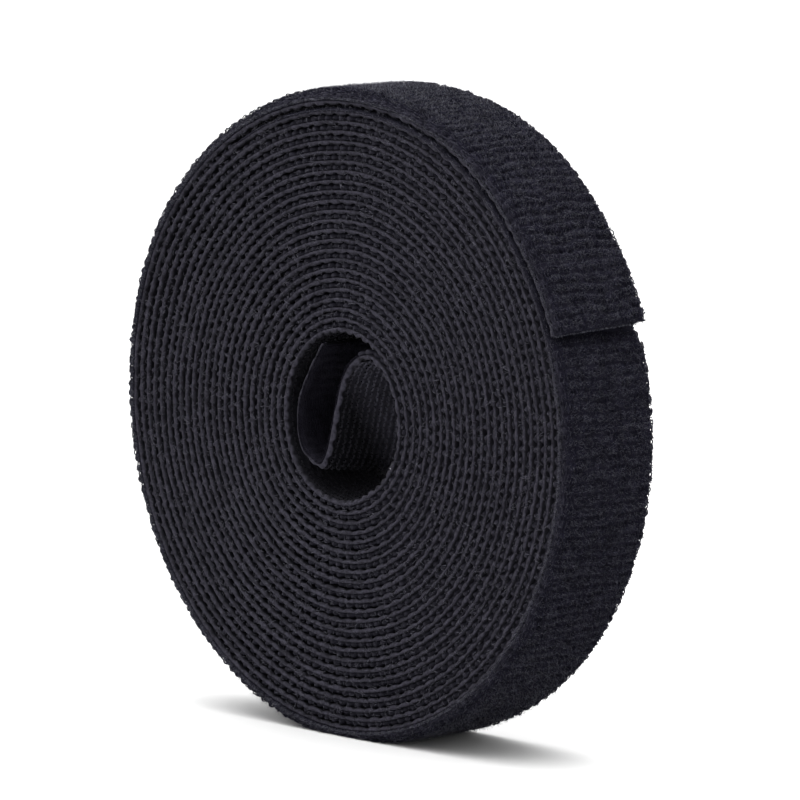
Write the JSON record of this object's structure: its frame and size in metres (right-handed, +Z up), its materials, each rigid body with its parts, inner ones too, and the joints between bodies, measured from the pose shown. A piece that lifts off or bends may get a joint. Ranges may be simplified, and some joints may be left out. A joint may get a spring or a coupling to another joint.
{
  "type": "hook and loop tape roll",
  "caption": "Core-less roll of back-to-back hook and loop tape standing on its rim, with a free outer end that peels and a springy inner tail in the bore.",
  "frame": {"origin": "centre of the flat foot, on the standing surface under the roll's axis", "axes": "+X to the right seen from the front face, +Y along the roll's axis from the front face to the back, +Z up"},
  "size_m": [0.1122, 0.02, 0.1118],
  "materials": {
    "hook_tape": "charcoal black hook band with a faint grey sheen on its edges",
    "loop_pile": "black brushed loop pile, matt and fuzzy"
  },
  "bodies": {
    "roll": {"winding_hook_layer": "hook_tape", "winding_loop_layer": "loop_pile"},
    "free_end_1": {"free_end_hook_layer_1": "hook_tape", "free_end_loop_layer_1": "loop_pile"},
    "free_end_2": {"free_end_hook_layer_2": "hook_tape", "free_end_loop_layer_2": "loop_pile"},
    "free_end_3": {"free_end_hook_layer_3": "hook_tape", "free_end_loop_layer_3": "loop_pile"},
    "free_end_4": {"free_end_hook_layer_4": "hook_tape", "free_end_loop_layer_4": "loop_pile"},
    "free_end_5": {"free_end_hook_layer_5": "hook_tape", "free_end_loop_layer_5": "loop_pile"},
    "free_end_6": {"free_end_hook_layer_6": "hook_tape", "free_end_loop_layer_6": "loop_pile"},
    "tail_run": {"tail_run_hook_layer": "hook_tape", "tail_run_loop_layer": "loop_pile"},
    "tail_end": {"tail_end_hook_layer": "hook_tape", "tail_end_loop_layer": "loop_pile"}
  },
  "joints": [
    {"name": "peel_1", "type": "hinge", "parent": "roll", "child": "free_end_1", "pos_m": [-0.02274, 0, 0.10518], "axis": [0, -1, 0], "range_deg": [0, 25]},
    {"name": "peel_2", "type": "hinge", "parent": "free_end_1", "child": "free_end_2", "pos_m": [-0.0078, 0, 0.10965], "axis": [0, -1, 0], "range_deg": [0, 25]},
    {"name": "peel_3", "type": "hinge", "parent": "free_end_2", "child": "free_end_3", "pos_m": [0.00781, 0, 0.10973], "axis": [0, -1, 0], "range_deg": [0, 25]},
    {"name": "peel_4", "type": "hinge", "parent": "free_end_3", "child": "free_end_4", "pos_m": [0.02283, 0, 0.10539], "axis": [0, -1, 0], "range_deg": [0, 25]},
    {"name": "peel_5", "type": "hinge", "parent": "free_end_4", "child": "free_end_5", "pos_m": [0.03605, 0, 0.09699], "axis": [0, -1, 0], "range_deg": [0, 25]},
    {"name": "peel_6", "type": "hinge", "parent": "free_end_5", "child": "free_end_6", "pos_m": [0.04637, 0, 0.08519], "axis": [0, -1, 0], "range_deg": [0, 25]},
    {"name": "tail_flex", "type": "hinge", "parent": "roll", "child": "tail_run", "pos_m": [0.00404, 0, 0.06585], "axis": [0, -1, 0], "range_deg": [-3, 25], "stiffness_Nm_per_rad": 0.01},
    {"name": "tail_fold", "type": "hinge", "parent": "tail_run", "child": "tail_end", "pos_m": [-0.00785, 0, 0.04781], "axis": [0, 1, 0], "range_deg": [-2, 12], "stiffness_Nm_per_rad": 0.01}
  ],
  "couplings": [
    {"joint": "peel_2", "follows": "peel_1", "ratio": 1},
    {"joint": "peel_3", "follows": "peel_1", "ratio": 1},
    {"joint": "peel_4", "follows": "peel_1", "ratio": 1},
    {"joint": "peel_5", "follows": "peel_1", "ratio": 1},
    {"joint": "peel_6", "follows": "peel_1", "ratio": 1}
  ]
}
